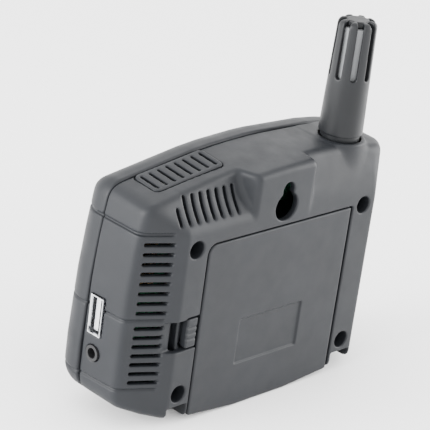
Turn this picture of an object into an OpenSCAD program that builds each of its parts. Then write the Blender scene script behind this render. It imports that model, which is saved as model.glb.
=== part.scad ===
// Indoor climate monitor: a desk or wall instrument with a plug-in probe.
// Origin: middle of the base. +Z up, +Y out of the rear panel, -Y out of the display.

/* [Case] */
// Depth from the key faces to the rear panel
case_depth = 36.5; // [34:0.5:42]
// Thickness of the case walls
wall = 2.4; // [1.8:0.1:2.8]
// Distance of the joint between the two covers from the rear panel
joint_depth = 24; // [22:0.5:26]
// Radius of the rolled edge round the front cover
front_roll = 9.5; // [6:0.5:11]

/* [Rear panel] */
// Half the spacing of the case screws across the panel
screw_x = 38; // [37:0.5:40]
// Half the spacing of the case screws up the panel
screw_z = 25; // [24:0.5:26]
// Radius of the wells that the case screws sit in
screw_well_r = 2.9; // [2.7:0.1:3.2]
// Radius of the round end of the hanging keyhole
keyhole_r = 4.8; // [4:0.1:5.5]
// Width of the keyhole's neck
keyhole_neck = 4.6; // [3.5:0.1:5]

/* [Battery door] */
// Width of the door
door_w = 65; // [62:0.5:66]
// Height of the door's top edge above the base
door_top = 61.6; // [60:0.2:62.4]
// Thickness of the door
door_t = 2.2; // [1.8:0.1:2.4]
// Gap round the door
door_gap = 0.4; // [0.3:0.05:0.6]

/* [Vents] */
// Width of every vent slot
slot_w = 1.2; // [0.8:0.1:1.6]

/* [Probe] */
// Radius of the probe at its foot
probe_r_low = 7.45; // [7:0.05:8]
// Radius of the probe at its tip
probe_r_top = 6.45; // [6:0.05:7]
// Height of the probe's tip above the base
probe_top = 122.8; // [115:0.2:126]
// Number of windows round the probe
probe_windows = 8; // [6:1:10]

/* [Keys] */
// Number of keys under the display
key_count = 5; // [5]
// Spacing of the keys
key_pitch = 14; // [13.5:0.1:14.2]

/* [Hidden] */

$fn = 48;
hair = 0.05;                    // the smallest gap between pieces of one body
run = 0.3;                      // clearance between pieces that move past each other
past = 1;                       // how far a cutter passes the surface that it opens

rear_y = case_depth / 2;        // the rear panel
key_face_y = -case_depth / 2;   // the faces of the keys
face_y = key_face_y + 0.6;      // the front face, which the keys stand proud of
joint_y = rear_y - joint_depth; // the joint between the covers
face_in_y = face_y + wall;      // the inside of the front wall
mid_z = 36.4;                   // the middle of the rear panel's screws

panel_left = 42;                // edges of the flat rear panel
panel_right = -43.4;
panel_top = 67.4;               // where the slopes above the panel begin
block_left = 14;                // the raised block that carries the keyhole
block_right = -12.5;

board_front_y = -5.7;           // the main board
board_t = 1.6;
board_rear_y = board_front_y + board_t;
post_end_y = -3.6;              // where the rear posts meet the front bosses

bay_x = 30.5;                   // the battery bay, inside
bay_low = 3;
bay_high = 58.5;
bay_floor_y = 1;
seat_y = rear_y - door_t - run; // the ledge that the door lies on
vent_pitch = 3.43;              // spacing of the grille's slots and of the vents under it
cell_r = 7.1;
cell_body = 49.2;
cell_pitch = 14.8;
cell_y = bay_floor_y + cell_r + 0.5;
plate_t = 0.4;
nub_h = 1;
spring_h = bay_high - bay_low - 2 * plate_t - cell_body - nub_h - hair;

hinge_x = -door_w / 2 + door_t / 2;     // the line that the door turns about
hinge_y = rear_y - door_t / 2;
tab_levels = [24, 46];                  // middles of the door's two hinge tabs
tab_w = 8;
latch_x = [33.5, 37.8];                 // the latch that is squeezed to open the door
latch_z = [27.4, 37.5];

probe_x = -34.4;                // the probe's axis
probe_y = rear_y - 12;
collar_r = 8.7;
collar_rim = 82.4;
recess_r = 7.2;
recess_floor = 74.5;
probe_foot = 84.2;
window_low = 104.4;
socket_low = 66;

lcd_mid_z = 47.5;
key_z = 19;
usb_y = -1.25;
usb_z = 35.7;
jack_y = -0.85;
jack_z = 22.9;
bush_y = -11.3;
board_holes = [[46, 15.2], [-46, 15.2], [46, 66], [-46, 66]];

shell_grey = "#50545b";
dark_grey = "#3d4046";
rubber_grey = "#8b8f94";
steel = "#c9ccd0";
brass = "#c6a15b";

// ---- outlines ----

function unit(v) = v / norm(v);

// Points that round the corner b between the points a and c, one for each 15 degrees of turn
function corner(a, b, c, r) = r <= 0 ? [b] :
    let (u = unit(a - b), v = unit(c - b), half = acos(u * v) / 2,
        mid = b + unit(u + v) * r / sin(half),
        from = b + u * r / tan(half) - mid,
        to = b + v * r / tan(half) - mid,
        a0 = atan2(from.y, from.x),
        raw = atan2(to.y, to.x) - a0,
        turn = raw > 180 ? raw - 360 : raw < -180 ? raw + 360 : raw,
        n = ceil(abs(turn) / 15))
    [for (i = [0:n]) mid + r * [cos(a0 + turn * i / n), sin(a0 + turn * i / n)]];

function flat(p) = [p.x, p.y];
function before(pts, i) = flat(pts[(i + len(pts) - 1) % len(pts)]);
function after(pts, i) = flat(pts[(i + 1) % len(pts)]);

// An outline of corners [x, y, radius], with each corner rounded
function rounded(pts) = [for (i = [0:len(pts) - 1])
    each corner(before(pts, i), flat(pts[i]), after(pts, i), pts[i].z)];

// The same corners moved inwards, for a convex outline
function shrunk(pts, d) = [for (i = [0:len(pts) - 1])
    let (b = flat(pts[i]), u = unit(before(pts, i) - b), v = unit(after(pts, i) - b), half = acos(u * v) / 2,
        p = b + unit(u + v) * d / sin(half))
    [p.x, p.y, max(pts[i].z - d, 0)]];

// A rectangle with round corners
function plate(x0, x1, y0, y1, r) = rounded([[x0, y0, r], [x1, y0, r], [x1, y1, r], [x0, y1, r]]);

// The case seen from the front, at the joint between the covers
case_corners = [[-12, 0, 0], [12, 0, 0], [46, 3, 0], [60.2, 9.5, 9], [60.2, 36, 0], [56.8, 66, 0],
    [54.8, 77.4, 6.5], [17, 83.4, 0], [-5, 84.6, 0], [-36, 83.4, 0], [-56.3, 79.5, 12], [-57.7, 66, 0],
    [-60.2, 36, 0], [-60.2, 9.5, 9], [-46, 3, 0]];

// The top of the rear cover, which falls a little towards the rear
top_slope = 5;
top_corners = [[-70, -20, 0], [70, -20, 0], [70, 74.8, 0], [17, 83.2, 0], [-5, 84.4, 0], [-36, 83.2, 0],
    [-70, 76.7, 0]];

// The rear cover seen from above: a shallow flank with vents, and a steep one
plan_corners = [[62, joint_y - 20, 0], [58.2, rear_y - 8.3, 3.5], [panel_left, rear_y, 2],
    [panel_right, rear_y, 2], [-57.8, rear_y - 14.3, 4], [-64, joint_y - 20, 0]];

// ---- helpers ----

// Extrudes a front view, drawn in x and z, from y0 to y1
module along_y(y0, y1) translate([0, y1, 0]) rotate([90, 0, 0]) linear_extrude(y1 - y0) children();

// Extrudes a side view, drawn in y and z, from x0 to x1
module along_x(x0, x1) translate([x0, 0, 0]) rotate([90, 0, 90]) linear_extrude(x1 - x0) children();

module box(x, y, z) translate([x[0], y[0], z[0]]) cube([x[1] - x[0], y[1] - y[0], z[1] - z[0]]);

// A round bar or hole along Y
module rod_y(x, z, r, y0, y1) translate([x, y1, z]) rotate([90, 0, 0]) cylinder(r = r, h = y1 - y0);

// A round bar or hole along X
module rod_x(y, z, r, x0, x1) translate([x0, y, z]) rotate([0, 90, 0]) cylinder(r = r, h = x1 - x0);

module at_case_screws() for (sx = [-1, 1], sz = [-1, 1]) translate([sx * screw_x, 0, mid_z + sz * screw_z])
    children();

module at_board_holes() for (p = board_holes) translate([p.x, 0, p.y]) children();

// ---- the rear cover ----

// What is cut off above the panel: a cove under the grille, and a wedge beside the probe
module slope_cuts(inset) {
    vent_slope = [[3, -3.2], [-5.6, 6.8], [-7.2, 10], [-7.8, 17], [-8, 60], [3, 60]];
    probe_slope = [[1.25, -3.5], [-6, 16.8], [-6, 60], [1.25, 60]];
    translate([0, rear_y - inset, panel_top - inset]) {
        along_x(block_left - inset, 80) polygon(vent_slope);
        along_x(-80, block_right + inset) polygon(probe_slope);
    }
}

module top_frame() translate([0, joint_y, 0]) rotate([-top_slope, 0, 0]) children();

module rear_form(inset = 0) difference() {
    intersection() {
        along_y(joint_y - (inset > 0 ? past : 0), rear_y + past) polygon(rounded(shrunk(case_corners, inset)));
        top_frame() along_y(-20, 40) polygon(rounded(shrunk(top_corners, inset)));
        translate([0, 0, -past]) linear_extrude(100) polygon(rounded(shrunk(plan_corners, inset)));
    }
    slope_cuts(inset);
}

// The U-shaped boss round the foot of the probe
module collar() translate([probe_x, probe_y, 0]) {
    translate([0, 0, recess_floor - 1.6]) cylinder(r = collar_r, h = collar_rim - recess_floor + 1.6);
    box([-collar_r, collar_r], [joint_y - probe_y, 0], [recess_floor, collar_rim]);
}

// What stands inside the hollow of the rear cover
module rear_inside() {
    box([-bay_x - 1.6, bay_x + 1.6], [bay_floor_y - 1.6, rear_y], [-past, bay_high + 1.6]);
    box([bay_x, latch_x[1] + 2], [9.8, rear_y], [latch_z[0] - 2, latch_z[1] + 2]);
    for (s = [[bay_x, 43.7], [-44.5, -bay_x]]) box(s, [10.6, rear_y], [-past, 8.5]);
    at_case_screws() rod_y(0, 0, 4, post_end_y, rear_y);
}

// The pocket that takes the cells, and the ledge that the door lies on
module door_recess() {
    edge = door_w / 2 + door_gap;
    high = door_top + door_gap;
    along_y(seat_y, rear_y + past) polygon(rounded([[-edge, -20, 0], [edge, -20, 0], [edge, high, 3.4],
        [-edge, high, 0]]));
    box([-bay_x, bay_x], [bay_floor_y, rear_y], [bay_low, bay_high]);
    for (z = tab_levels) box([-36.4, -bay_x + past], [12, rear_y - 1.2], [z - tab_w / 2 - 0.5, z + tab_w / 2 + 0.5]);
}

// The pocket round the latch, and the scoop for a fingertip beside it
module latch_recess() {
    box([door_w / 2, latch_x[1] + 0.4], [11, rear_y + past], [latch_z[0] - 0.5, latch_z[1] + 0.5]);
    box([latch_x[1], 45], [rear_y - 2.6, rear_y + past], [latch_z[0] - 0.6, latch_z[1] - 0.1]);
}

module stand_notches() for (s = [[33.6, 42], [-42.8, -34.1]]) box(s, [12.2, rear_y + past], [-past, 6.9]);

module keyhole() {
    rod_y(0, 68.4, keyhole_r, rear_y - wall - past, rear_y + past);
    rod_y(0, 74.4, keyhole_neck / 2, rear_y - wall - past, rear_y + past);
    box([-keyhole_neck / 2, keyhole_neck / 2], [rear_y - wall - past, rear_y + past], [68.4, 74.4]);
}

// A slot with round ends, cut straight back through the rear wall
module vent(x0, x1, z) along_y(joint_y + 4, rear_y + past)
    polygon(plate(x0, x1, z - slot_w / 2, z + slot_w / 2, slot_w / 2 - 0.01));

module flank_vents() {
    for (i = [0:7]) vent(45.5, 54.6, 64 - 3.3 * i);
    for (i = [0:6]) vent(45.5, 54.6, 35.6 - 3.13 * i);
}

module slope_vents() for (i = [0:7]) let (x = 20 + vent_pitch * i, high = i == 7 ? 74.5 : 77.6)
    along_y(joint_y + 4, rear_y + past)
        polygon(plate(x - slot_w / 2, x + slot_w / 2, 69.2, high, slot_w / 2 - 0.01));

grille_w = 28.6;
grille_d = 11.8;
grille_t = 1.4;

// The flat patch of the top that the grille fills: x to the flank, y to the rear, z up
module on_patch() translate([18.4, joint_y + 0.6, 83.2]) rotate([-top_slope, 0, 0]) rotate([0, 9, 0])
    children();

module grille_pocket(inset, z0, z1) on_patch() translate([0, 0, z0]) linear_extrude(z1 - z0)
    polygon(plate(inset, grille_w - inset, inset, grille_d - inset, 2 - inset / 2));

module rear_cover() color(shell_grey) difference() {
    union() {
        difference() {
            rear_form();
            difference() {
                rear_form(wall);
                rear_inside();
            }
        }
        collar();
    }
    door_recess();
    latch_recess();
    stand_notches();
    keyhole();
    flank_vents();
    slope_vents();
    grille_pocket(0, -grille_t, 9);
    grille_pocket(1.3, -9, 9);
    at_case_screws() {
        rod_y(0, 0, screw_well_r, post_end_y + 4, rear_y + past);
        rod_y(0, 0, 1.7, post_end_y - past, post_end_y + 5);
    }
    box([54, 62], [usb_y - 3.05, usb_y + 3.05], [usb_z - 6.75, usb_z + 6.75]);
    rod_x(jack_y, jack_z, 2.8, 54, 62);
    translate([probe_x, probe_y, recess_floor]) cylinder(r = recess_r, h = 20);
    translate([probe_x, probe_y, socket_low]) cylinder(r = 4.3, h = 20);
}

module top_grille() color(shell_grey) difference() {
    grille_pocket(0.15, -grille_t, -hair);
    on_patch() for (i = [0:7]) let (x = 2.3 + vent_pitch * i) translate([0, 0, -past - grille_t]) linear_extrude(4)
        polygon(plate(x - slot_w / 2, x + slot_w / 2, 1.7, grille_d - 1.7, slot_w / 2 - 0.01));
}

// ---- the front cover and the display ----

module slice(y, inset) translate([0, y, 0]) rotate([90, 0, 0]) linear_extrude(0.01)
    polygon(rounded(shrunk(case_corners, inset)));

// The front cover's outer form, with its rolled edge
module front_form() hull() {
    for (a = [0:18:90]) slice(face_y + front_roll * (1 - sin(a)), front_roll * (1 - cos(a)));
    slice(joint_y + 0.01, 0);
}

// Its hollow, in two steps, so that the wall is thicker round the rolled edge
module front_hollow() {
    along_y(face_in_y + 3.5, joint_y + past) polygon(rounded(shrunk(case_corners, wall)));
    along_y(face_in_y, face_in_y + 4) polygon(rounded(shrunk(case_corners, wall + 3.2)));
}

module front_cover() color(shell_grey) difference() {
    union() {
        difference() {
            front_form();
            front_hollow();
        }
        at_case_screws() rod_y(0, 0, 3.7, face_in_y - 0.8, post_end_y);
        at_board_holes() rod_y(0, 0, 2.8, face_in_y - 0.8, board_front_y);
        translate([0, bush_y, 0]) cylinder(r = 5.5, h = 10.4);
    }
    along_y(face_y - past, face_y + 1.5) polygon(plate(-43, 43, 26.5, 70.5, 5));
    along_y(face_y, face_in_y + past) polygon(plate(-31, 31, lcd_mid_z - 18, lcd_mid_z + 18, 1));
    for (i = [0:key_count - 1]) key_opening(i);
    at_case_screws() rod_y(0, 0, 1.5, face_in_y + 1, post_end_y + past);
    at_board_holes() rod_y(0, 0, 1, board_front_y - 7, board_front_y + past);
    translate([0, bush_y, -past]) cylinder(r = 4, h = past + 9);
    // The pad round the tripod bush ends at the joint
    box([-8, 8], [joint_y, joint_y + 2], [-past, 12]);
}

module key_opening(i) along_y(face_y - past, face_in_y + past)
    polygon(plate(key_x(i) - 6.3, key_x(i) + 6.3, key_z - 3.4, key_z + 3.4, 2.6));

function key_x(i) = (i - (key_count - 1) / 2) * key_pitch;

module key(i) color(rubber_grey) {
    x = key_x(i);
    along_y(key_face_y, face_in_y + run + 0.1) polygon(plate(x - 6, x + 6, key_z - 3.1, key_z + 3.1, 2.3));
    along_y(face_in_y + run, face_in_y + 1.5)
        polygon(plate(x - 6.8, x + 6.8, key_z - 3.8, key_z + 3.8, 2.4));
    rod_y(x, key_z, 2.2, face_in_y + 1.4, -10.3);
}

module key_mat() color("#5c6168") {
    along_y(board_front_y - 1.4, board_front_y) polygon(plate(-34, 34, key_z - 4.4, key_z + 4.2, 1.5));
    for (i = [0:key_count - 1]) rod_y(key_x(i), key_z, 4, -9.5, board_front_y - 1.3);
}

module display_lens() color("#20262b") along_y(face_y + 0.1, face_y + 1.5)
    polygon(plate(-42.9, 42.9, 26.6, 70.4, 4.9));

module lcd_panel() color("#8fa08c") box([-32.5, 32.5], [-15.05, -12.65], [lcd_mid_z - 20.5, lcd_mid_z + 20.5]);

module lcd_backlight() color("#f2f4ee") box([-32.5, 32.5], [-12.65, -9.15], [lcd_mid_z - 17, lcd_mid_z + 17]);

module zebra_strips() color("#c8c8cc") for (s = [-1, 1])
    box([-30, 30], [-12.65, board_front_y], [lcd_mid_z + s * 19 - 1.1, lcd_mid_z + s * 19 + 1.1]);

module lcd_frame() color("#e4e4e0") difference() {
    along_y(-15.15, board_front_y) polygon(plate(-34, 34, lcd_mid_z - 22, lcd_mid_z + 22, 0.8));
    box([-32.55, 32.55], [-20, 0], [lcd_mid_z - 20.55, lcd_mid_z + 20.55]);
}

// ---- electronics ----

module main_board() color("#1f6b45") difference() {
    along_y(board_front_y, board_rear_y) polygon([[-46, 8], [46, 8], [54, 18], [54, 52], [51, 72], [-51, 72],
        [-54, 52], [-54, 18]]);
    at_case_screws() rod_y(0, 0, 4.2, board_front_y - past, board_rear_y + past);
    at_board_holes() rod_y(0, 0, 1.2, board_front_y - past, board_rear_y + past);
}

// The controller, a memory chip, a clock crystal and two capacitors
module board_chips() color("#2a2a2d") {
    box([-7, 7], [board_rear_y, board_rear_y + 1.6], [40, 54]);
    box([14, 20], [board_rear_y, board_rear_y + 1.6], [44, 49]);
    box([-19, -12], [board_rear_y, board_rear_y + 2.4], [45, 49]);
    for (z = [28, 36]) rod_y(-24, z, 2, board_rear_y, board_rear_y + 2.8);
}

module gas_sensor() color("#d8b25a") {
    along_y(-2.4, 5.6) polygon(plate(42.6, 53.4, 44.5, 70, 1));
    for (x = [43.3, 51.5], z = [47, 57.2, 67.4]) if (x < 50 || z < 60) rod_y(x, z, 0.4, board_rear_y, -2.35);
}

module buzzer() color("#1c1c1e") difference() {
    rod_y(-47, 36, 6, board_rear_y, board_rear_y + 8.5);
    rod_y(-47, 36, 1, board_rear_y + 5, board_rear_y + 9);
}

module usb_socket() {
    color(steel) difference() {
        box([45.3, 59.2], [usb_y - 2.85, usb_y + 2.85], [usb_z - 6.55, usb_z + 6.55]);
        box([46, 60], [usb_y - 2.55, usb_y + 2.55], [usb_z - 6.25, usb_z + 6.25]);
    }
    color("#111214") box([45.9, 57.6], [usb_y - 1.6, usb_y + 0.3], [usb_z - 5.55, usb_z + 5.55]);
}

module adapter_jack() color("#161618") difference() {
    union() {
        box([45.4, 56.4], [board_rear_y, board_rear_y + 6.5], [jack_z - 3.5, jack_z + 3.5]);
        rod_x(jack_y, jack_z, 2.7, 56.3, 59.4);
    }
    rod_x(jack_y, jack_z, 1.75, 59.4 - 12, 61);
}

module probe_socket() color("#1a1a1c") translate([probe_x, probe_y, socket_low]) difference() {
    cylinder(r = 5.8, h = recess_floor - 1.6 - socket_low);
    translate([0, 0, 2.4]) cylinder(r = 4.3, h = 20);
}

// ---- batteries, door and latch ----

module cell(i) {
    up = i % 2 == 0;
    low = up ? bay_low + plate_t + spring_h : bay_low + plate_t + nub_h;
    translate([(i - 1.5) * cell_pitch, cell_y, low]) {
        color("#2f6f8f") cylinder(r = cell_r, h = cell_body);
        color(steel) translate([0, 0, up ? cell_body : -nub_h]) cylinder(r = 2.75, h = nub_h);
    }
}

// A conical spring of round wire, swept along its coil
module coil(low_r, top_r, h, wire_r, turns) {
    sides = 5;
    per_turn = 10;
    last = turns * per_turn;
    pts = [for (i = [0:last]) let (t = i / last, a = 360 * turns * t, r = low_r + (top_r - low_r) * t,
        z = wire_r + (h - 2 * wire_r) * t) for (k = [0:sides - 1])
        [(r + wire_r * cos(72 * k)) * cos(a), (r + wire_r * cos(72 * k)) * sin(a), z + wire_r * sin(72 * k)]];
    faces = concat([[for (k = [0:sides - 1]) k]], [[for (k = [sides - 1:-1:0]) last * sides + k]],
        [for (i = [0:last - 1], k = [0:sides - 1]) let (n = (k + 1) % sides)
            [i * sides + k, (i + 1) * sides + k, (i + 1) * sides + n, i * sides + n]]);
    polyhedron(pts, faces);
}

module battery_springs() color(steel) for (i = [0:3])
    translate([(i - 1.5) * cell_pitch, cell_y, i % 2 == 0 ? bay_low + plate_t : bay_high - plate_t])
        mirror([0, 0, i % 2]) coil(4.6, 2.2, spring_h, 0.4, 3);

module battery_plates() color(steel) for (i = [0:3], z = [bay_low, bay_high - plate_t])
    box([(i - 1.5) * cell_pitch - 5.5, (i - 1.5) * cell_pitch + 5.5], [bay_floor_y + 1, bay_floor_y + 13],
        [z, z + plate_t]);

module battery_door() color(shell_grey) {
    half = door_w / 2;
    foot = half * 0.088 - 0.9;
    difference() {
        union() {
            along_y(rear_y - door_t, rear_y) polygon(rounded([[hinge_x, foot, 0], [-12, 0.2, 0], [12, 0.2, 0],
                [half, foot + 0.1, 0], [half, door_top, 3], [hinge_x, door_top, 0]]));
            translate([hinge_x, hinge_y, foot]) cylinder(r = door_t / 2, h = door_top - foot);
        }
        box([-14.2, 14], [rear_y - 0.5, rear_y + past], [15.8, 31.7]);
    }
    for (i = [-1:1]) let (x = i * cell_pitch)
        box([x - 0.75, x + 0.75], [13.6, rear_y - door_t + 0.2], [8, 54]);
    for (z = tab_levels)
        box([hinge_x - 4, hinge_x], [hinge_y - 1.6, hinge_y - 0.4], [z - tab_w / 2, z + tab_w / 2]);
}

module battery_latch() color(shell_grey) {
    along_y(15.4, rear_y) polygon(plate(latch_x[0], latch_x[1], latch_z[0], latch_z[1], 0.8));
    box([latch_x[0], latch_x[1] - 1.2], [12, 15.5], latch_z);
    along_y(13.8, 15.3) polygon(plate(latch_x[0] + 1, latch_x[1] - 0.1, latch_z[0] + 2, latch_z[1] - 2, 0.8));
}

// ---- fasteners ----

module case_screws() color("#8f9398") at_case_screws() difference() {
    union() {
        rod_y(0, 0, 2.7, post_end_y + 4, post_end_y + 6.2);
        rod_y(0, 0, 1.5, post_end_y - 8.4, post_end_y + 4.1);
    }
    for (a = [0, 90]) rotate([0, a, 0]) box([-1.6, 1.6], [post_end_y + 5, post_end_y + 7], [-0.3, 0.3]);
}

module board_screws() color("#8f9398") at_board_holes() difference() {
    union() {
        rod_y(0, 0, 2.3, board_rear_y, board_rear_y + 1.3);
        rod_y(0, 0, 1, board_rear_y - 7.5, board_rear_y + 0.1);
    }
    for (a = [0, 90]) rotate([0, a, 0]) box([-1.3, 1.3], [board_rear_y + 0.6, board_rear_y + 2], [-0.25, 0.25]);
}

module tripod_bush() color(brass) translate([0, bush_y, 0]) difference() {
    cylinder(r = 4, h = 9);
    translate([0, 0, -past]) cylinder(r = 2.6, h = 8 + past);
}

// ---- the probe ----

module at_probe() translate([probe_x, probe_y, 0]) children();

module probe_body() color(dark_grey) at_probe() difference() {
    union() {
        translate([0, 0, recess_floor + 1]) cylinder(r = 6.6, h = probe_foot - recess_floor - 1);
        translate([0, 0, probe_foot - 0.1]) cylinder(r = 5.2, h = 14);
    }
    translate([0, 0, recess_floor + 4.6]) cylinder(r = 4.4, h = 30);
    translate([0, 0, recess_floor]) cylinder(r = 3.9, h = 10);
    translate([0, 0, 79.4]) rotate_extrude() translate([6.15, 0]) square([2, 1.7], center = true);
}

module probe_seal() color("#1b1b1b") at_probe() translate([0, 0, 79.4]) difference() {
    rotate_extrude() translate([6.05, 0]) circle(r = 0.85);
    cylinder(r = 5.15, h = 5, center = true);
}

module probe_cage() color(dark_grey) at_probe() difference() {
    translate([0, 0, probe_foot]) cylinder(r1 = probe_r_low, r2 = probe_r_top, h = probe_top - probe_foot);
    translate([0, 0, probe_foot - past]) cylinder(r = 5.2, h = probe_top - probe_foot - 1.2);
    for (i = [0:probe_windows - 1]) rotate([0, 0, 8 + 360 / probe_windows * i]) {
        box([3.7, 12], [-1, 1], [window_low, probe_top + past]);
        rod_x(0, window_low, 1, 3.7, 12);
    }
}

module probe_filter() color("#9a9d9f") at_probe() translate([0, 0, 100.4]) difference() {
    cylinder(r = 4.9, h = 20);
    translate([0, 0, -past]) cylinder(r = 4.4, h = 19);
}

module probe_board() color("#1f6b45") at_probe() box([-3.6, 3.6], [-0.5, 0.5], [84.6, 117]);

module probe_sensor() color("#e9e9e4") at_probe() box([-2.4, 2.4], [0.5, 1.9], [108, 115]);

// The plug body and its four pins
module probe_plug() at_probe() {
    color("#202022") translate([0, 0, recess_floor - 3.4]) cylinder(r = 3.85, h = 7.9);
    color(brass) for (a = [0:90:270]) rotate([0, 0, a]) translate([2, 0, recess_floor + 4.4]) cylinder(r = 0.4, h = 5);
}

rear_cover();
front_cover();
top_grille();
display_lens();
lcd_frame();
lcd_panel();
lcd_backlight();
zebra_strips();
main_board();
board_chips();
key_mat();
key(0);  // key_power
key(1);  // key_set
key(2);  // key_down
key(3);  // key_up
key(4);  // key_enter
gas_sensor();
buzzer();
usb_socket();
adapter_jack();
probe_socket();
battery_door();
battery_latch();
cell(0);  // battery_cell_1
cell(1);  // battery_cell_2
cell(2);  // battery_cell_3
cell(3);  // battery_cell_4
battery_springs();
battery_plates();
case_screws();
board_screws();
tripod_bush();
probe_body();
probe_cage();
probe_filter();
probe_board();
probe_sensor();
probe_plug();
probe_seal();
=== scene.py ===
"""Indoor climate monitor with a plug-in probe, seen from behind.

The moulded pieces are sculpted from distance fields in millimetres, in the frame's own axes, and
turned into meshes. Everything else is the CAD model with detailed materials.
"""

import copy
import math

import bpy
import numpy as np
from mathutils import Matrix, Vector


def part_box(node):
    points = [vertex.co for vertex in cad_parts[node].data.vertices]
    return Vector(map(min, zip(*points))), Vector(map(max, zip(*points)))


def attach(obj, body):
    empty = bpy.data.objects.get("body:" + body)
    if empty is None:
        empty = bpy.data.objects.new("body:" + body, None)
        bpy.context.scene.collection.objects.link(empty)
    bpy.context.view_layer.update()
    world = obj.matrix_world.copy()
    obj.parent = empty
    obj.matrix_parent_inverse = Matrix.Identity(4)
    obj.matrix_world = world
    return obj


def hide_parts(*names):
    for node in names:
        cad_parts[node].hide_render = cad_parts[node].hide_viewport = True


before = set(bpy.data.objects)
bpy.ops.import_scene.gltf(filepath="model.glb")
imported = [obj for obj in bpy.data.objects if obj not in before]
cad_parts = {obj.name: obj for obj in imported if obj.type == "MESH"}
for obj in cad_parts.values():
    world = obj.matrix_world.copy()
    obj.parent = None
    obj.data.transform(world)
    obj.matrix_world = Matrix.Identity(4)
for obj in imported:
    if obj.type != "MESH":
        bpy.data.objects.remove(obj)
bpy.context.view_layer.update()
MM = 0.001


def mm_box(node):
    """A node's lowest and highest corners in millimetres."""
    low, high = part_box(node)
    return np.array(low) / MM, np.array(high) / MM


# ---- driving dimensions, from the frame ----

REAR = mm_box("rear_cover")[1][1]  # the rear panel
JOINT = mm_box("rear_cover")[0][1]  # the joint between the covers
FACE = mm_box("front_cover")[0][1]  # the front face
DOOR_HIGH = mm_box("battery_door")[1]
PROBE_LOW, PROBE_HIGH = mm_box("probe_cage")
PROBE = (PROBE_LOW + PROBE_HIGH) / 2
DOOR_HALF, DOOR_TOP = DOOR_HIGH[0], DOOR_HIGH[2]
DOOR_T = 2.2
DOOR_GAP = 0.4
DOOR_SEAT = REAR - DOOR_T - 0.3
SCREW_X = 38.0
SCREW_LEVELS = (11.4, 61.4)
WALL = 2.4
ROLL = 9.5  # the rolled edge round the front cover
PANEL_TOP = 67.4
BLOCK_LEFT, BLOCK_RIGHT = 14.0, -12.5  # the raised block that carries the keyhole
GROOVE_LEVELS = (14.4, 38.4, 67.4)
VENT_W, VENT_PITCH = 1.2, 3.43
SCREW_WELL_R, POST_R, POST_END = 2.9, 4.0, -3.6
PANEL_LEFT, PANEL_RIGHT = 42, -43.4  # the edges of the flat rear panel
DECK_FALL = math.radians(5)  # how the top falls towards the rear
GRILLE_W, GRILLE_D, GRILLE_TILT = 28.6, 11.8, math.radians(9)
BAY_X, BAY_Z = 30.5, (3, 58.5)  # the battery bay
LATCH_X, LATCH_Z = (33.5, 37.8), (27.4, 37.5)
TAB_LEVELS = (24, 46)
NOTCHES = ((33.6, 42), (-42.8, -34.1))
COLLAR_R, COLLAR_RIM, RECESS_R, RECESS_FLOOR = 8.7, 82.4, 7.2, 74.5
WINDOW_LOW = 104.4  # the foot of the probe's windows
KEY_LEVEL, KEY_PITCH = 19, 14
BUSH_Y = -11.3
CASE_STEP = 0.42  # spacing of the sample points for the covers
KEPT_FACES = 0.3  # share of a sculpted mesh's faces that is kept


# ---- distance fields ----


class Grid:
    """A box of sample points. Fields over it are negative inside the material."""

    def __init__(self, low, high, step):
        self.low = np.array(low, float)
        self.step = step
        count = np.ceil((np.array(high) - self.low) / step).astype(int) + 1
        axes = [self.low[k] + step * np.arange(count[k]) for k in range(3)]
        self.x = axes[0].astype(np.float32)[:, None, None]
        self.y = axes[1].astype(np.float32)[None, :, None]
        self.z = axes[2].astype(np.float32)[None, None, :]
        self.shape = tuple(count)

    def window(self, low, high):
        """The part of the grid inside a box, and the slices that pick it out."""
        at = tuple(slice(max(0, int((low[k] - self.low[k]) / self.step)),
                         int((high[k] - self.low[k]) / self.step) + 1) for k in range(3))
        part = copy.copy(self)
        part.x, part.y, part.z = self.x[at[0]], self.y[:, at[1]], self.z[:, :, at[2]]
        return part, at


def join(a, b, k=0.0):
    """Union, with a fillet of about k where the two meet."""
    if k <= 0:
        return np.minimum(a, b)
    h = np.maximum(k - np.abs(a - b), 0) / k
    return np.minimum(a, b) - h * h * k / 4


def keep(a, b, k=0.0):
    """Intersection, with its edge rounded by about k."""
    return -join(-a, -b, k)


def cut(a, b, k=0.0):
    """Takes b away from a, with the mouth rounded by about k."""
    return keep(a, -b, k)


def box_field(g, x, y, z, r=0.0):
    """A box with edges of radius r."""
    away = []
    for axis, span in ((g.x, x), (g.y, y), (g.z, z)):
        middle, half = (span[0] + span[1]) / 2, (span[1] - span[0]) / 2
        away.append(np.abs(axis - middle) - half + r)
    outside = sum(np.maximum(a, 0) ** 2 for a in away) ** 0.5
    inside = np.minimum(np.maximum(np.maximum(away[0], away[1]), away[2]), 0)
    return outside + inside - r


def rod_field(u, v, low, high, along, r):
    """A round bar or hole: u and v are offsets from its axis, along runs from low to high."""
    return np.maximum(np.sqrt(u * u + v * v) - r, np.maximum(low - along, along - high))


def rolled(a, b, r):
    """Intersection of two forms, with their edge rounded to the radius r."""
    outside = np.sqrt(np.maximum(a + r, 0) ** 2 + np.maximum(b + r, 0) ** 2)
    return np.minimum(np.maximum(a, b) + r, 0) + outside - r


def outline_field(u, v, points):
    """Signed distance from a closed outline, worked out on the plane of u and v."""
    u, v = np.broadcast_arrays(u, v)
    best = np.full(u.shape, 1e9, np.float32)
    inside = np.zeros(u.shape, bool)
    for i, b in enumerate(points):
        a = points[i - 1]
        du, dv = b[0] - a[0], b[1] - a[1]
        along = np.clip(((u - a[0]) * du + (v - a[1]) * dv) / (du * du + dv * dv), 0, 1)
        best = np.minimum(best, (u - a[0] - along * du) ** 2 + (v - a[1] - along * dv) ** 2)
        spans = (a[1] > v) != (b[1] > v)
        if dv != 0:
            inside ^= spans & (u < a[0] + (v - a[1]) * du / dv)
    return np.where(inside, -np.sqrt(best), np.sqrt(best)).astype(np.float32)


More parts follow.
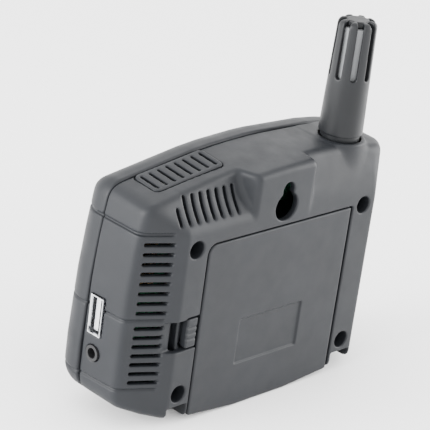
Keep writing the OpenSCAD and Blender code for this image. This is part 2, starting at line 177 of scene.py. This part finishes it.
def rounded(corners, per_turn=7.0):
    """Points of a closed outline of corners (u, v, radius), one for each per_turn degrees of an arc."""
    points = []
    for i, (u, v, r) in enumerate(corners):
        b = Vector((u, v))
        to_a = (Vector(corners[i - 1][:2]) - b).normalized()
        to_c = (Vector(corners[(i + 1) % len(corners)][:2]) - b).normalized()
        if r <= 0:
            points.append((u, v))
            continue
        half = to_a.angle(to_c) / 2
        middle = b + (to_a + to_c).normalized() * r / math.sin(half)
        first = b + to_a * r / math.tan(half) - middle
        last = b + to_c * r / math.tan(half) - middle
        turn = first.angle_signed(last)
        steps = max(1, round(abs(math.degrees(turn)) / per_turn))
        for k in range(steps + 1):
            points.append(tuple(middle + Matrix.Rotation(-turn * k / steps, 2) @ first))
    return points


def plate(u0, u1, v0, v1, r):
    """A rectangle with round corners."""
    return rounded([(u0, v0, r), (u1, v0, r), (u1, v1, r), (u0, v1, r)], 15)


# ---- from field to mesh ----


def crossings(field, cells):
    """The mean point, in grid steps, where each cell's edges cross the surface."""
    corners = [(i, j, k) for i in (0, 1) for j in (0, 1) for k in (0, 1)]
    value = {c: field[cells[:, 0] + c[0], cells[:, 1] + c[1], cells[:, 2] + c[2]] for c in corners}
    total = np.zeros((len(cells), 3))
    count = np.zeros(len(cells))
    for a in corners:
        for axis in range(3):
            if a[axis]:
                continue
            b = tuple(1 if k == axis else a[k] for k in range(3))
            crossing = (value[a] < 0) != (value[b] < 0)
            with np.errstate(divide="ignore", invalid="ignore"):
                t = np.where(crossing, value[a] / (value[a] - value[b]), 0)
            point = np.tile(np.array(a, float), (len(cells), 1))
            point[:, axis] = t
            total += point * crossing[:, None]
            count += crossing
    return cells + total / count[:, None]


def surface(field):
    """The vertices, in grid steps, and the quads of the surface where the field is zero."""
    solid = field < 0
    shape = [n - 1 for n in field.shape]
    around = np.zeros(shape, np.int8)
    for i in (0, 1):
        for j in (0, 1):
            for k in (0, 1):
                around += solid[i : shape[0] + i, j : shape[1] + j, k : shape[2] + k]
    cells = np.argwhere((around > 0) & (around < 8))
    number = np.full(shape, -1, np.int32)
    number[tuple(cells.T)] = np.arange(len(cells))
    quads = []
    for axis in range(3):
        second, third = (axis + 1) % 3, (axis + 2) % 3
        here = [slice(1, -1)] * 3
        there = [slice(1, -1)] * 3
        here[axis] = slice(0, -1)
        there[axis] = slice(1, None)
        a, b = solid[tuple(here)], solid[tuple(there)]
        for outward in (True, False):
            at = np.argwhere((a & ~b) if outward else (~a & b))
            at[:, second] += 1
            at[:, third] += 1
            ring = []
            for ds, dt in ((-1, -1), (0, -1), (0, 0), (-1, 0)):
                cell = at.copy()
                cell[:, second] += ds
                cell[:, third] += dt
                ring.append(number[tuple(cell.T)])
            quads.append(np.stack(ring if outward else ring[::-1], 1))
    return crossings(field, cells), np.concatenate(quads)


def slopes_at(field, points):
    """The field's direction of steepest climb at points given in grid steps."""
    top = np.array(field.shape) - 2
    base = np.clip(np.floor(points).astype(int), 1, top - 1)
    part = points - base
    slope = np.zeros((len(points), 3))
    for i in (0, 1):
        for j in (0, 1):
            for k in (0, 1):
                p = base + (i, j, k)
                weight = np.prod(np.abs((1 - i, 1 - j, 1 - k) - part), axis=1)
                for axis in range(3):
                    ahead, behind = p.copy(), p.copy()
                    ahead[:, axis] += 1
                    behind[:, axis] -= 1
                    rise = field[tuple(ahead.T)] - field[tuple(behind.T)]
                    slope[:, axis] += weight * rise
    length = np.linalg.norm(slope, axis=1)
    length[length == 0] = 1
    return slope / length[:, None]


def sculpt(g, field, body, node, slot):
    """Makes the piece that stands for a node from a field, and rides it on a body."""
    name = node + "_moulding"
    field = np.ascontiguousarray(np.broadcast_to(field, g.shape), np.float32)
    points, quads = surface(field)
    mesh = bpy.data.meshes.new(name)
    mesh.vertices.add(len(points))
    mesh.vertices.foreach_set("co", ((points * g.step + g.low) * MM).astype(np.float32).ravel())
    mesh.loops.add(quads.size)
    mesh.loops.foreach_set("vertex_index", quads.astype(np.int32).ravel())
    mesh.polygons.add(len(quads))
    mesh.polygons.foreach_set("loop_start", np.arange(0, quads.size, 4, dtype=np.int32))
    mesh.update(calc_edges=True)
    piece = bpy.data.objects.new(name, mesh)
    bpy.context.collection.objects.link(piece)
    fewer = piece.modifiers.new("fewer", "DECIMATE")
    fewer.ratio = KEPT_FACES
    graph = bpy.context.evaluated_depsgraph_get()
    mesh = bpy.data.meshes.new_from_object(piece.evaluated_get(graph))
    piece.modifiers.clear()
    piece.data = mesh
    mesh.name = name
    co = np.empty(len(mesh.vertices) * 3, np.float32)
    mesh.vertices.foreach_get("co", co)
    at = (co.reshape(-1, 3) / MM - g.low) / g.step
    mesh.shade_smooth()
    mesh.normals_split_custom_set_from_vertices(slopes_at(field, at))
    mesh.materials.append(FINISHES[slot])
    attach(piece, body)
    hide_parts(node)


# ---- materials ----


def new_material(name, colour, rough, metal=0.0):
    """A material with its node tree, shader and a position for the patterns, in millimetres."""
    material = bpy.data.materials.new(name)
    material.use_nodes = True
    tree = material.node_tree
    shader = tree.nodes["Principled BSDF"]
    shader.inputs["Base Color"].default_value = (*colour, 1)
    shader.inputs["Roughness"].default_value = rough
    shader.inputs["Metallic"].default_value = metal
    shader.inputs["Specular IOR Level"].default_value = 0.22
    place = tree.nodes.new("ShaderNodeTexCoord")
    scale = tree.nodes.new("ShaderNodeVectorMath")
    scale.operation = "SCALE"
    scale.inputs["Scale"].default_value = 1 / MM
    tree.links.new(place.outputs["Object"], scale.inputs[0])
    return material, tree, shader, scale.outputs[0]


def noise(tree, place, size, detail=3.0):
    """A noise whose features are about size millimetres across."""
    node = tree.nodes.new("ShaderNodeTexNoise")
    node.inputs["Scale"].default_value = 1 / size
    node.inputs["Detail"].default_value = detail
    tree.links.new(place, node.inputs["Vector"])
    return node.outputs["Fac"]


def between(tree, fac, low, high):
    """Maps a 0 to 1 value onto a range."""
    node = tree.nodes.new("ShaderNodeMapRange")
    node.inputs["From Min"].default_value = 0.3
    node.inputs["From Max"].default_value = 0.7
    node.inputs["To Min"].default_value = low
    node.inputs["To Max"].default_value = high
    tree.links.new(fac, node.inputs["Value"])
    return node.outputs["Result"]


def tint(tree, fac, first, second):
    """A colour between two, by a 0 to 1 value."""
    node = tree.nodes.new("ShaderNodeValToRGB")
    node.color_ramp.elements[0].position = 0.3
    node.color_ramp.elements[0].color = (*first, 1)
    node.color_ramp.elements[1].position = 0.7
    node.color_ramp.elements[1].color = (*second, 1)
    tree.links.new(fac, node.inputs["Fac"])
    return node.outputs["Color"]


def bumps(tree, shader, height, depth):
    """Raises the surface by depth millimetres where height is 1."""
    node = tree.nodes.new("ShaderNodeBump")
    node.inputs["Strength"].default_value = 1
    node.inputs["Distance"].default_value = depth * MM
    tree.links.new(height, node.inputs["Height"])
    tree.links.new(node.outputs["Normal"], shader.inputs["Normal"])


def moulded(name, colour, rough=0.5, grain=0.35, depth=0.03, spread=0.12):
    """Moulded plastic: a fine spark-eroded grain, a faint drift of colour and of gloss."""
    material, tree, shader, place = new_material(name, colour, rough)
    drift = noise(tree, place, 18, 2)
    dark = tuple(c * (1 - spread) for c in colour)
    light = tuple(c * (1 + spread) for c in colour)
    tree.links.new(tint(tree, drift, dark, light), shader.inputs["Base Color"])
    gloss = between(tree, noise(tree, place, 6), rough - 0.05, rough + 0.05)
    tree.links.new(gloss, shader.inputs["Roughness"])
    bumps(tree, shader, noise(tree, place, grain, 4), depth)
    return material


def metal(name, colour, rough):
    """Plated or turned metal with fine drawing marks."""
    material, tree, shader, place = new_material(name, colour, rough, 1.0)
    marks = noise(tree, place, 0.3, 6)
    tree.links.new(between(tree, marks, rough - 0.08, rough + 0.1), shader.inputs["Roughness"])
    bumps(tree, shader, marks, 0.01)
    return material


def board_material():
    """Green solder mask with a paler grid of tracks under it."""
    material, tree, shader, place = new_material("solder_mask", (0.02, 0.12, 0.06), 0.35)
    tracks = tree.nodes.new("ShaderNodeTexBrick")
    tracks.inputs["Scale"].default_value = 0.35
    tracks.inputs["Mortar Size"].default_value = 0.06
    tracks.inputs["Color1"].default_value = (0.012, 0.1, 0.05, 1)
    tracks.inputs["Color2"].default_value = (0.02, 0.14, 0.07, 1)
    tracks.inputs["Mortar"].default_value = (0.05, 0.24, 0.12, 1)
    turn = tree.nodes.new("ShaderNodeMapping")
    turn.inputs["Rotation"].default_value = (math.pi / 2, 0, 0)
    tree.links.new(place, turn.inputs["Vector"])
    tree.links.new(turn.outputs[0], tracks.inputs["Vector"])
    tree.links.new(tracks.outputs["Color"], shader.inputs["Base Color"])
    bumps(tree, shader, tracks.outputs["Fac"], 0.03)
    return material


# ---- outlines shared by the covers ----

CASE_CORNERS = [
    (-12, 0, 0), (12, 0, 0), (46, 3, 60), (60.2, 9.5, 9), (60.2, 36, 200), (56.8, 66, 150), (54.8, 77.4, 6.5),
    (17, 83.4, 80), (-5, 84.6, 60), (-36, 83.4, 60), (-56.3, 79.5, 12), (-57.7, 66, 150), (-60.2, 36, 200),
    (-60.2, 9.5, 9), (-46, 3, 60),
]
PLAN_CORNERS = [
    (62, JOINT - 20, 0), (58.2, REAR - 8.3, 3.5), (PANEL_LEFT, REAR, 2.5), (PANEL_RIGHT, REAR, 2),
    (-57.8, REAR - 14.3, 4), (-64, JOINT - 20, 0),
]
CASE_OUTLINE = rounded(CASE_CORNERS)
DECK_LINE = [(70, 74.8), (17, 83.2), (-5, 84.4), (-36, 83.2), (-70, 76.7)]


def screw_offsets(g):
    """The x and z offsets from each case screw's axis."""
    return [(g.x - sx * SCREW_X, g.z - level) for sx in (-1, 1) for level in SCREW_LEVELS]


def groove_field(g, form):
    """Three fine V grooves round each side, and a sunk strip above the vents."""
    cuts = 1e3
    for level in GROOVE_LEVELS:
        line = (np.abs(g.z - level) - 0.6 * form - 0.55) / 1.17
        cuts = np.minimum(cuts, np.maximum(line, 46.0 - np.abs(g.x)))
    strip = box_field(g, (46.5, 56), (-30, 30), (66.8, 68))
    return np.minimum(cuts, np.maximum(strip, -form - 0.7))


# ---- the rear cover ----


def shell_form(g, inset=0.0):
    """The rear cover's outer form, before anything is cut into it."""
    form = outline_field(g.x, g.z, CASE_OUTLINE) + inset
    high = g.z + math.tan(DECK_FALL) * (g.y - JOINT) - 0.3
    for a, b in zip(DECK_LINE, DECK_LINE[1:]):
        dx, dz = b[0] - a[0], b[1] - a[1]
        plane = (dz * (g.x - a[0]) - dx * (high - a[1])) / math.hypot(dx, dz) + inset
        form = keep(form, plane, 2.2)
    form = keep(form, outline_field(g.x, g.y, rounded(PLAN_CORNERS)) + inset, 2.6)
    back, above = g.y - REAR, g.z - PANEL_TOP
    # the cove under the grille, and the block's wall that flares over it
    ramp = (10 * (back - 3) + 8.6 * (above + 3.2)) / 13.19 + inset
    cove = join(ramp, back + 7.6 + 0.07 * (above - 12) + inset, 5.0)
    cove = join(cove, (g.x - BLOCK_LEFT + 0.42 * back) / 1.085 + inset, 1.5)
    # the steep well beside the probe
    well = (20.3 * (back - 1.25) + 7.25 * (above + 3.5)) / 21.56 + inset
    well = join(well, BLOCK_RIGHT - g.x + inset, 1.2)
    return keep(keep(form, cove, 1.6), well, 2.2)


def vent_field(g):
    """All the slots of the rear cover, which run straight back."""
    vents = []
    for i in range(8):
        vents.append((45.5, 54.6, 64 - 3.3 * i - VENT_W / 2, 64 - 3.3 * i + VENT_W / 2))
    for i in range(7):
        vents.append((45.5, 54.6, 35.6 - 3.13 * i - VENT_W / 2, 35.6 - 3.13 * i + VENT_W / 2))
    for i in range(8):
        x = 20 + VENT_PITCH * i
        vents.append((x - VENT_W / 2, x + VENT_W / 2, 69.2, 74.5 if i == 7 else 77.6))
    slots = 1e3
    for x0, x1, z0, z1 in vents:
        slots = np.minimum(slots, outline_field(g.x, g.z, plate(x0, x1, z0, z1, VENT_W / 2 - 0.01)))
    return np.maximum(slots, JOINT + 4 - g.y)


def collar_field(g):
    """The U-shaped boss round the probe's foot."""
    u, v = g.x - PROBE[0], g.y - PROBE[1]
    ring = np.sqrt(u * u + np.maximum(v, 0) ** 2) - COLLAR_R
    return keep(ring, np.maximum(g.z - COLLAR_RIM, 72.9 - g.z), 1.0)


def inside_field(g):
    """What stands inside the hollow: the battery bay, the latch pocket, the notches and the posts."""
    inner = box_field(g, (-32.1, 32.1), (-0.6, 30), (-9, 60.1))
    inner = join(inner, box_field(g, (30, 39.8), (9.8, 30), (25.4, 39.5)))
    for span in ((30.5, 43.7), (-44.5, -30.5)):
        inner = join(inner, box_field(g, span, (10.6, 30), (-9, 8.5)))
    for u, v in screw_offsets(g):
        inner = join(inner, rod_field(u, v, POST_END, 30, g.y, POST_R))
    return inner


def cut_door_and_latch(g, body):
    """Opens the battery bay, the door's seat, the latch's pocket and the notches for a stand."""
    edge, high = DOOR_HALF + DOOR_GAP, DOOR_TOP + DOOR_GAP
    seat = rounded([(-edge, -20, 0), (edge, -20, 0), (edge, high, 3.4), (-edge, high, 0.8)], 12)
    body = cut(body, np.maximum(outline_field(g.x, g.z, seat), DOOR_SEAT - g.y), 0.35)
    body = cut(body, box_field(g, (-BAY_X, BAY_X), (1, 30), BAY_Z, 0.4), 0.3)
    for level in TAB_LEVELS:
        slot = (level - 4.5, level + 4.5)
        body = cut(body, box_field(g, (-36.4, -29.5), (12, REAR - 1.2), slot))
    body = cut(body, box_field(g, (32.5, 38.2), (11, 30), (26.9, 38), 0.4), 0.3)
    body = cut(body, box_field(g, (37.8, 50), (REAR - 2.6, 30), (26.8, 37.4), 0.8), 0.5)
    for span in NOTCHES:
        body = cut(body, box_field(g, span, (12.2, 30), (-9, 6.9), 0.4), 0.3)
    return body


def cut_keyhole(g, body):
    key = rod_field(g.x, g.z - 68.4, REAR - 6, 30, g.y, 4.8)
    neck = rod_field(g.x, g.z - 74.4, REAR - 6, 30, g.y, 2.3)
    between_them = box_field(g, (-2.3, 2.3), (REAR - 6, 30), (68.4, 74.4))
    return cut(body, join(join(key, neck), between_them, 0.8), 0.35)


def patch_axes(g):
    """Coordinates on the grille's patch: x to the flank, y to the rear, z up out of the deck."""
    turn = Matrix.Rotation(-DECK_FALL, 3, "X") @ Matrix.Rotation(GRILLE_TILT, 3, "Y")
    back = turn.inverted()
    origin = Vector((18.4, JOINT + 0.6, 83.2))
    x, y, z = g.x - origin.x, g.y - origin.y, g.z - origin.z
    return [back[k][0] * x + back[k][1] * y + back[k][2] * z for k in range(3)]


def cut_grille_pocket(g, body):
    part, at = g.window((16, -6, 70), (50, 12, 86))
    u, v, w = patch_axes(part)
    pocket = np.maximum(outline_field(u, v, plate(0, GRILLE_W, 0, GRILLE_D, 2)), -1.45 - w)
    opening = plate(1.3, GRILLE_W - 1.3, 1.3, GRILLE_D - 1.3, 1.3)
    through = np.maximum(outline_field(u, v, opening), np.abs(w) - 9)
    body[at] = cut(cut(body[at], pocket, 0.25), through)
    return body


def rear_cover():
    g = Grid((-61.2, JOINT - 1.2, -1.2), (61.2, REAR + 1.2, 86), CASE_STEP)
    form = shell_form(g)
    body = cut(keep(form, JOINT - g.y, 0.9), cut(shell_form(g, WALL), inside_field(g)))
    body = join(body, collar_field(g), 1.6)
    body = cut(body, groove_field(g, form))
    body = cut_door_and_latch(g, body)
    body = cut_keyhole(g, body)
    body = cut(body, vent_field(g), 0.25)
    body = cut_grille_pocket(g, np.array(body))
    for u, v in screw_offsets(g):
        body = cut(body, rod_field(u, v, 0.4, 30, g.y, SCREW_WELL_R), 0.4)
        body = cut(body, rod_field(u, v, -9, 2, g.y, 1.7))
    body = cut(body, box_field(g, (54, 70), (-4.3, 1.8), (28.95, 42.45), 0.4), 0.3)
    body = cut(body, rod_field(g.y + 0.85, g.z - 22.9, 54, 70, g.x, 2.8), 0.2)
    u, v = g.x - PROBE[0], g.y - PROBE[1]
    body = cut(body, rod_field(u, v, RECESS_FLOOR, 99, g.z, RECESS_R), 0.4)
    body = cut(body, rod_field(u, v, 66, 99, g.z, 4.3))
    sculpt(g, np.maximum(body, JOINT - g.y), "case", "rear_cover", "case_plastic")


def top_grille():
    g = Grid((17, JOINT - 0.4, 76), (48, 8, 84.2), 0.28)
    u, v, w = patch_axes(g)
    edge = plate(0.3, GRILLE_W - 0.3, 0.3, GRILLE_D - 0.3, 1.8)
    body = rolled(outline_field(u, v, edge), w + 0.05, 0.35)
    body = np.maximum(body, -1.4 - w)
    for i in range(8):
        x = 2.3 + VENT_PITCH * i
        slot = plate(x - VENT_W / 2, x + VENT_W / 2, 1.7, GRILLE_D - 1.7, VENT_W / 2 - 0.01)
        body = cut(body, outline_field(u, v, slot), 0.25)
    sculpt(g, body, "case", "top_grille", "case_plastic")


# ---- the front cover ----


def front_cover():
    g = Grid((-61.2, FACE - 1.2, -1.2), (61.2, -2.4, 86), CASE_STEP)
    outline = outline_field(g.x, g.z, CASE_OUTLINE)
    form = rolled(outline, FACE - g.y, ROLL)
    body = cut(form, rolled(outline + WALL, FACE + WALL - g.y, ROLL - WALL))
    body = cut(body, groove_field(g, form))
    body = keep(body, g.y - JOINT, 0.9)
    for u, v in screw_offsets(g):
        boss = rod_field(u, v, FACE + 1, POST_END, g.y, 3.7)
        body = join(body, cut(boss, rod_field(u, v, FACE + WALL + 1, 9, g.y, 1.5)))
    pad = rod_field(g.x, g.y - BUSH_Y, 0.4, 10.4, g.z, 5.5)
    body = join(body, np.maximum(pad, g.y - JOINT))
    body = cut(body, rod_field(g.x, g.y - BUSH_Y, -9, 9, g.z, 4))
    near = g.y - FACE - 5
    lens_seat = outline_field(g.x, g.z, plate(-43, 43, 26.5, 70.5, 5))
    body = cut(body, np.maximum(lens_seat, near + 3.5), 0.3)
    window = outline_field(g.x, g.z, plate(-31, 31, 29.5, 65.5, 1))
    body = cut(body, np.maximum(window, near))
    for i in range(-2, 3):
        x = KEY_PITCH * i
        opening = plate(x - 6.3, x + 6.3, KEY_LEVEL - 3.4, KEY_LEVEL + 3.4, 2.6)
        body = cut(body, np.maximum(outline_field(g.x, g.z, opening), near), 0.3)
    sculpt(g, body, "case", "front_cover", "case_plastic")


# ---- the battery door and its latch ----


def battery_door():
    g = Grid((-36.6, 12.6, -1), (33.7, REAR + 1.2, 62.8), 0.36)
    corners = [(-DOOR_HALF, 1.96, 0.8), (-12, 0.2, 0), (12, 0.2, 0), (DOOR_HALF, 2.06, 0.8),
               (DOOR_HALF, DOOR_TOP, 3), (-DOOR_HALF, DOOR_TOP, 0.5)]
    axis_x, axis_y = -DOOR_HALF + DOOR_T / 2, REAR - DOOR_T / 2
    slab = np.sqrt(np.minimum(g.x - axis_x, 0) ** 2 + (g.y - axis_y) ** 2) - DOOR_T / 2
    body = rolled(outline_field(g.x, g.z, rounded(corners, 12)), slab, 0.45)
    body = cut(body, box_field(g, (-14.2, 14), (REAR - 0.55, 30), (15.8, 31.7)), 0.2)
    for i in (-1, 0, 1):
        rib = (14.8 * i - 0.75, 14.8 * i + 0.75)
        body = join(body, box_field(g, rib, (13.6, 16.3), (8, 54)), 0.4)
    for level in TAB_LEVELS:
        body = join(body, box_field(g, (-35.4, -31), (15.55, 16.75), (level - 4, level + 4), 0.3), 0.3)
    sculpt(g, body, "door", "battery_door", "case_plastic")


def battery_latch():
    g = Grid((32.3, 10.8, 26.2), (39, REAR + 1.2, 38.7), 0.24)
    body = box_field(g, LATCH_X, (15.4, REAR), LATCH_Z, 0.5)
    body = join(body, box_field(g, (LATCH_X[0], 36.6), (12, 15.6), LATCH_Z, 0.3), 0.3)
    body = join(body, box_field(g, (34.5, 37.7), (13.8, 15.3), (29.4, 35.5), 0.3), 0.3)
    for level in (30.4, 32.4, 34.4):
        body = cut(body, rod_field(g.y - REAR - 0.25, g.z - level, 33, 39, g.x, 0.6), 0.2)
    sculpt(g, body, "latch", "battery_latch", "case_plastic")


# ---- the probe ----


def probe_cage():
    low, high = PROBE_LOW[2], PROBE_HIGH[2]
    g = Grid((PROBE_LOW[0] - 0.8, PROBE_LOW[1] - 0.8, low - 0.8), PROBE_HIGH + 0.8, 0.23)
    u, v = g.x - PROBE[0], g.y - PROBE[1]
    around = np.sqrt(u * u + v * v)
    foot = (PROBE_HIGH[0] - PROBE_LOW[0]) / 2
    body = keep(around - foot + (g.z - low) / (high - low), g.z - high, 2.2)
    body = keep(body, low - g.z, 0.5)
    body = cut(body, np.maximum(around - 5.2, g.z - high + 2.2), 0.3)
    for i in range(8):
        turn = math.radians(8 + 45 * i)
        out = math.cos(turn) * u + math.sin(turn) * v
        side = math.cos(turn) * v - math.sin(turn) * u
        window = np.sqrt(side * side + np.minimum(g.z - WINDOW_LOW, 0) ** 2) - 1
        body = cut(body, np.maximum(window, 3.7 - out), 0.5)
    sculpt(g, body, "probe", "probe_cage", "probe_plastic")


# ---- finishes of the nodes that are shown as they are ----


def lens_material():
    """Acrylic, printed dark behind its margin and clear over the display."""
    material, tree, shader, place = new_material("lens_smoked", (0.01, 0.012, 0.014), 0.06)
    parts = tree.nodes.new("ShaderNodeSeparateXYZ")
    tree.links.new(place, parts.inputs[0])
    inside = None
    for axis, middle, half in (("X", 0, 30.5), ("Z", 47.5, 17.5)):
        near = tree.nodes.new("ShaderNodeMath")
        near.operation = "COMPARE"
        near.inputs[1].default_value = middle
        near.inputs[2].default_value = half
        tree.links.new(parts.outputs[axis], near.inputs[0])
        if inside is None:
            inside = near.outputs[0]
            continue
        both = tree.nodes.new("ShaderNodeMath")
        both.operation = "MULTIPLY"
        tree.links.new(inside, both.inputs[0])
        tree.links.new(near.outputs[0], both.inputs[1])
        inside = both.outputs[0]
    tree.links.new(inside, shader.inputs["Transmission Weight"])
    print_and_clear = tint(tree, inside, (0.01, 0.012, 0.014), (0.6, 0.63, 0.62))
    tree.links.new(print_and_clear, shader.inputs["Base Color"])
    bumps(tree, shader, noise(tree, place, 9, 2), 0.01)
    return material


FINISHES = {
    "case_plastic": moulded("case_abs", (0.008, 0.009, 0.011), 0.5, depth=0.02),
    "probe_plastic": moulded("probe_abs", (0.006, 0.0066, 0.0076), 0.42, grain=0.3, depth=0.02),
    "lens_acrylic": lens_material(),
    "white_plastic": moulded("white_abs", (0.75, 0.75, 0.72), 0.5),
    "lcd_glass": moulded("lcd_film", (0.34, 0.39, 0.33), 0.18, grain=0.6, depth=0.005, spread=0.04),
    "diffuser": moulded("opal_acrylic", (0.8, 0.82, 0.8), 0.3, depth=0.01, spread=0.03),
    "zebra_rubber": moulded("banded_rubber", (0.55, 0.53, 0.55), 0.7),
    "circuit_board": board_material(),
    "chip_black": moulded("moulded_epoxy", (0.018, 0.018, 0.02), 0.6, grain=0.2),
    "silicone": moulded("silicone_sheet", (0.1, 0.11, 0.12), 0.65),
    "key_rubber": moulded("silicone_keys", (0.24, 0.26, 0.28), 0.6, grain=0.25),
    "sensor_gold": metal("gold_plate", (0.85, 0.62, 0.3), 0.28),
    "black_plastic": moulded("black_nylon", (0.012, 0.012, 0.013), 0.45, grain=0.3),
    "socket_steel": metal("nickel_plate", (0.75, 0.76, 0.78), 0.22),
    "cell_wrap": moulded("printed_wrap", (0.05, 0.16, 0.28), 0.3, depth=0.01),
    "spring_steel": metal("spring_nickel", (0.62, 0.62, 0.63), 0.3),
    "screw_steel": metal("black_zinc", (0.1, 0.1, 0.11), 0.38),
    "bush_brass": metal("turned_brass", (0.75, 0.56, 0.26), 0.25),
    "filter_mesh": moulded("sintered_filter", (0.16, 0.165, 0.17), 0.7, grain=0.5, depth=0.12),
    "sensor_white": moulded("ceramic_sensor", (0.78, 0.78, 0.75), 0.4),
    "seal_rubber": moulded("seal_elastomer", (0.012, 0.012, 0.012), 0.55),
}


def finish_nodes():
    """Gives every CAD node the finish of its material slot."""
    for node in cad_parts.values():
        for holder in node.material_slots:
            if holder.material and holder.material.name in FINISHES:
                holder.material = FINISHES[holder.material.name]


finish_nodes()
rear_cover()
top_grille()
front_cover()
battery_door()
battery_latch()
probe_cage()

# ---- stage, light and camera ----


def look():
    """The camera, at the reference view: from behind and to the left, a little above, leaning."""
    azimuth, elevation, roll = math.radians(133.1), math.radians(22.8), math.radians(7.9)
    back = Vector((math.sin(azimuth) * math.cos(elevation), -math.cos(azimuth) * math.cos(elevation),
                   math.sin(elevation)))
    right = Vector((0, 0, 1)).cross(back).normalized()
    up = back.cross(right)
    side = right * math.cos(roll) + up * math.sin(roll)
    top = -right * math.sin(roll) + up * math.cos(roll)
    data = bpy.data.cameras.new("camera")
    camera = bpy.data.objects.new("camera", data)
    bpy.context.collection.objects.link(camera)
    target = Vector((0, REAR, 36.4))
    spot = target + side * -18.8 + top * 26.6 + back * 645.8
    pose = Matrix((side, top, back)).transposed().to_4x4()
    pose.translation = spot * MM
    camera.matrix_world = pose
    data.sensor_width = 36
    data.lens = 36 * 2000 / 430
    data.clip_end = 20
    bpy.context.scene.camera = camera


def area_light(name, spot, power):
    """A soft square light, aimed at the object."""
    target = (0, 0, 0.05)
    data = bpy.data.lights.new(name, "AREA")
    data.shape = "RECTANGLE"
    data.size = 0.8
    data.size_y = 0.8
    data.energy = power
    lamp = bpy.data.objects.new(name, data)
    bpy.context.collection.objects.link(lamp)
    lamp.location = spot
    lamp.rotation_euler = (Vector(target) - Vector(spot)).to_track_quat("-Z", "Y").to_euler()


def stage():
    mesh = bpy.data.meshes.new("floor")
    half = 3.0
    corners = [(-half, -half, 0), (half, -half, 0), (half, half, 0), (-half, half, 0)]
    mesh.from_pydata(corners, [], [(0, 1, 2, 3)])
    floor = bpy.data.objects.new("floor", mesh)
    bpy.context.collection.objects.link(floor)
    material = new_material("floor_white", (0.94, 0.94, 0.94), 0.6)[0]
    mesh.materials.append(material)
    world = bpy.data.worlds.new("studio")
    bpy.context.scene.world = world
    world.use_nodes = True
    world.node_tree.nodes["Background"].inputs["Color"].default_value = (1, 1, 1, 1)
    world.node_tree.nodes["Background"].inputs["Strength"].default_value = 3.4
    area_light("left", (1.1, -0.25, 0.35), 40)
    area_light("right", (-1.2, 0.65, 0.35), 30)


look()
stage()
